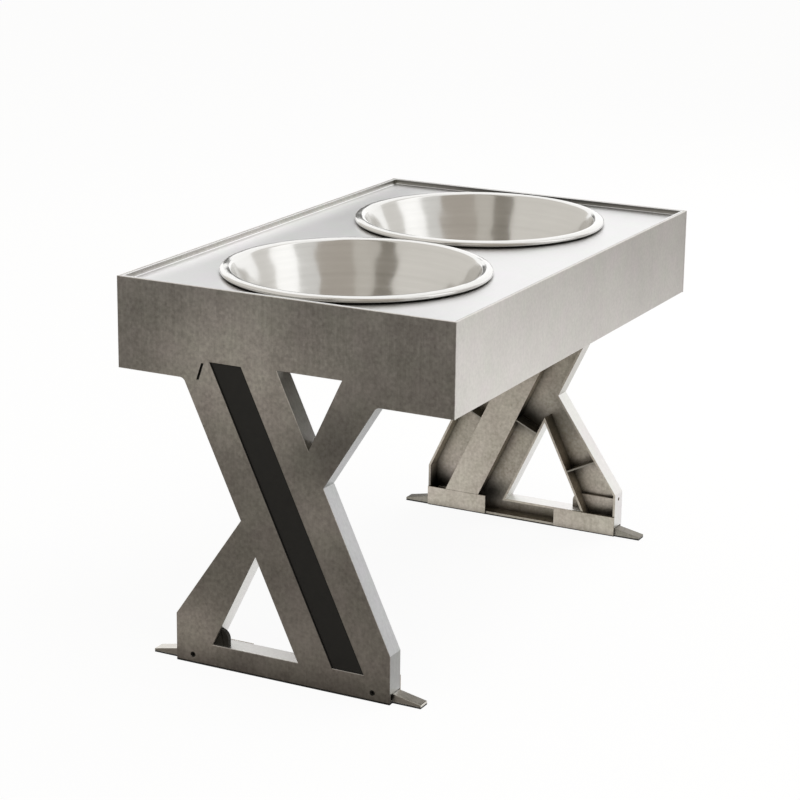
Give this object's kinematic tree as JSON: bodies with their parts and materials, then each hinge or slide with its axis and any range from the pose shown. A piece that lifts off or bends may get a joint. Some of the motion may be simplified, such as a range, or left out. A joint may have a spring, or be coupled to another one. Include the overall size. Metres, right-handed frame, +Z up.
{
  "type": "elevated dog bowl stand",
  "caption": "Raised pet feeder in folded sheet steel: a shallow tray on X-shaped end legs with wedge feet, holding lift-out steel bowls.",
  "frame": {"origin": "on the floor under the middle of the tray", "axes": "+X across the tray, +Y along the tray from the front end panel to the rear one, +Z up"},
  "size_m": [0.29, 0.46, 0.3075],
  "materials": {
    "brushed_steel": "brushed stainless sheet, satin",
    "polished_steel": "mirror-polished stainless",
    "foot_steel": "satin steel bar",
    "black_inlay": "matt black strip",
    "rubber": "matt black rubber strip",
    "black_screw": "black-oxide screw"
  },
  "bodies": {
    "stand": {"base_rail_front": "brushed_steel", "base_rail_rear": "brushed_steel", "corner_angle_front_left": "brushed_steel", "corner_angle_front_right": "brushed_steel", "corner_angle_rear_left": "brushed_steel", "corner_angle_rear_right": "brushed_steel", "deck_ledge_left": "brushed_steel", "deck_ledge_right": "brushed_steel", "deck_pan": "brushed_steel", "end_panel_front": "brushed_steel", "end_panel_rear": "brushed_steel", "floor_strip_front": "rubber", "floor_strip_rear": "rubber", "foot_front_left": "foot_steel", "foot_front_right": "foot_steel", "foot_rear_left": "foot_steel", "foot_rear_right": "foot_steel", "foot_screws_front": "black_screw", "foot_screws_rear": "black_screw", "leg_ribs_front": "brushed_steel", "leg_ribs_rear": "brushed_steel", "side_fascia_left": "brushed_steel", "side_fascia_right": "brushed_steel", "slot_cover_front": "brushed_steel", "slot_cover_rear": "brushed_steel", "slot_inlay_front": "black_inlay", "slot_inlay_rear": "black_inlay"},
    "front_bowl": {"bowl_front": "polished_steel"},
    "rear_bowl": {"bowl_rear": "polished_steel"}
  },
  "joints": [
    {"name": "front_bowl_lift", "type": "slide", "parent": "stand", "child": "front_bowl", "axis": [0, 0, 1], "range_m": [0, 0.075]},
    {"name": "rear_bowl_lift", "type": "slide", "parent": "stand", "child": "rear_bowl", "axis": [0, 0, 1], "range_m": [0, 0.075]}
  ]
}
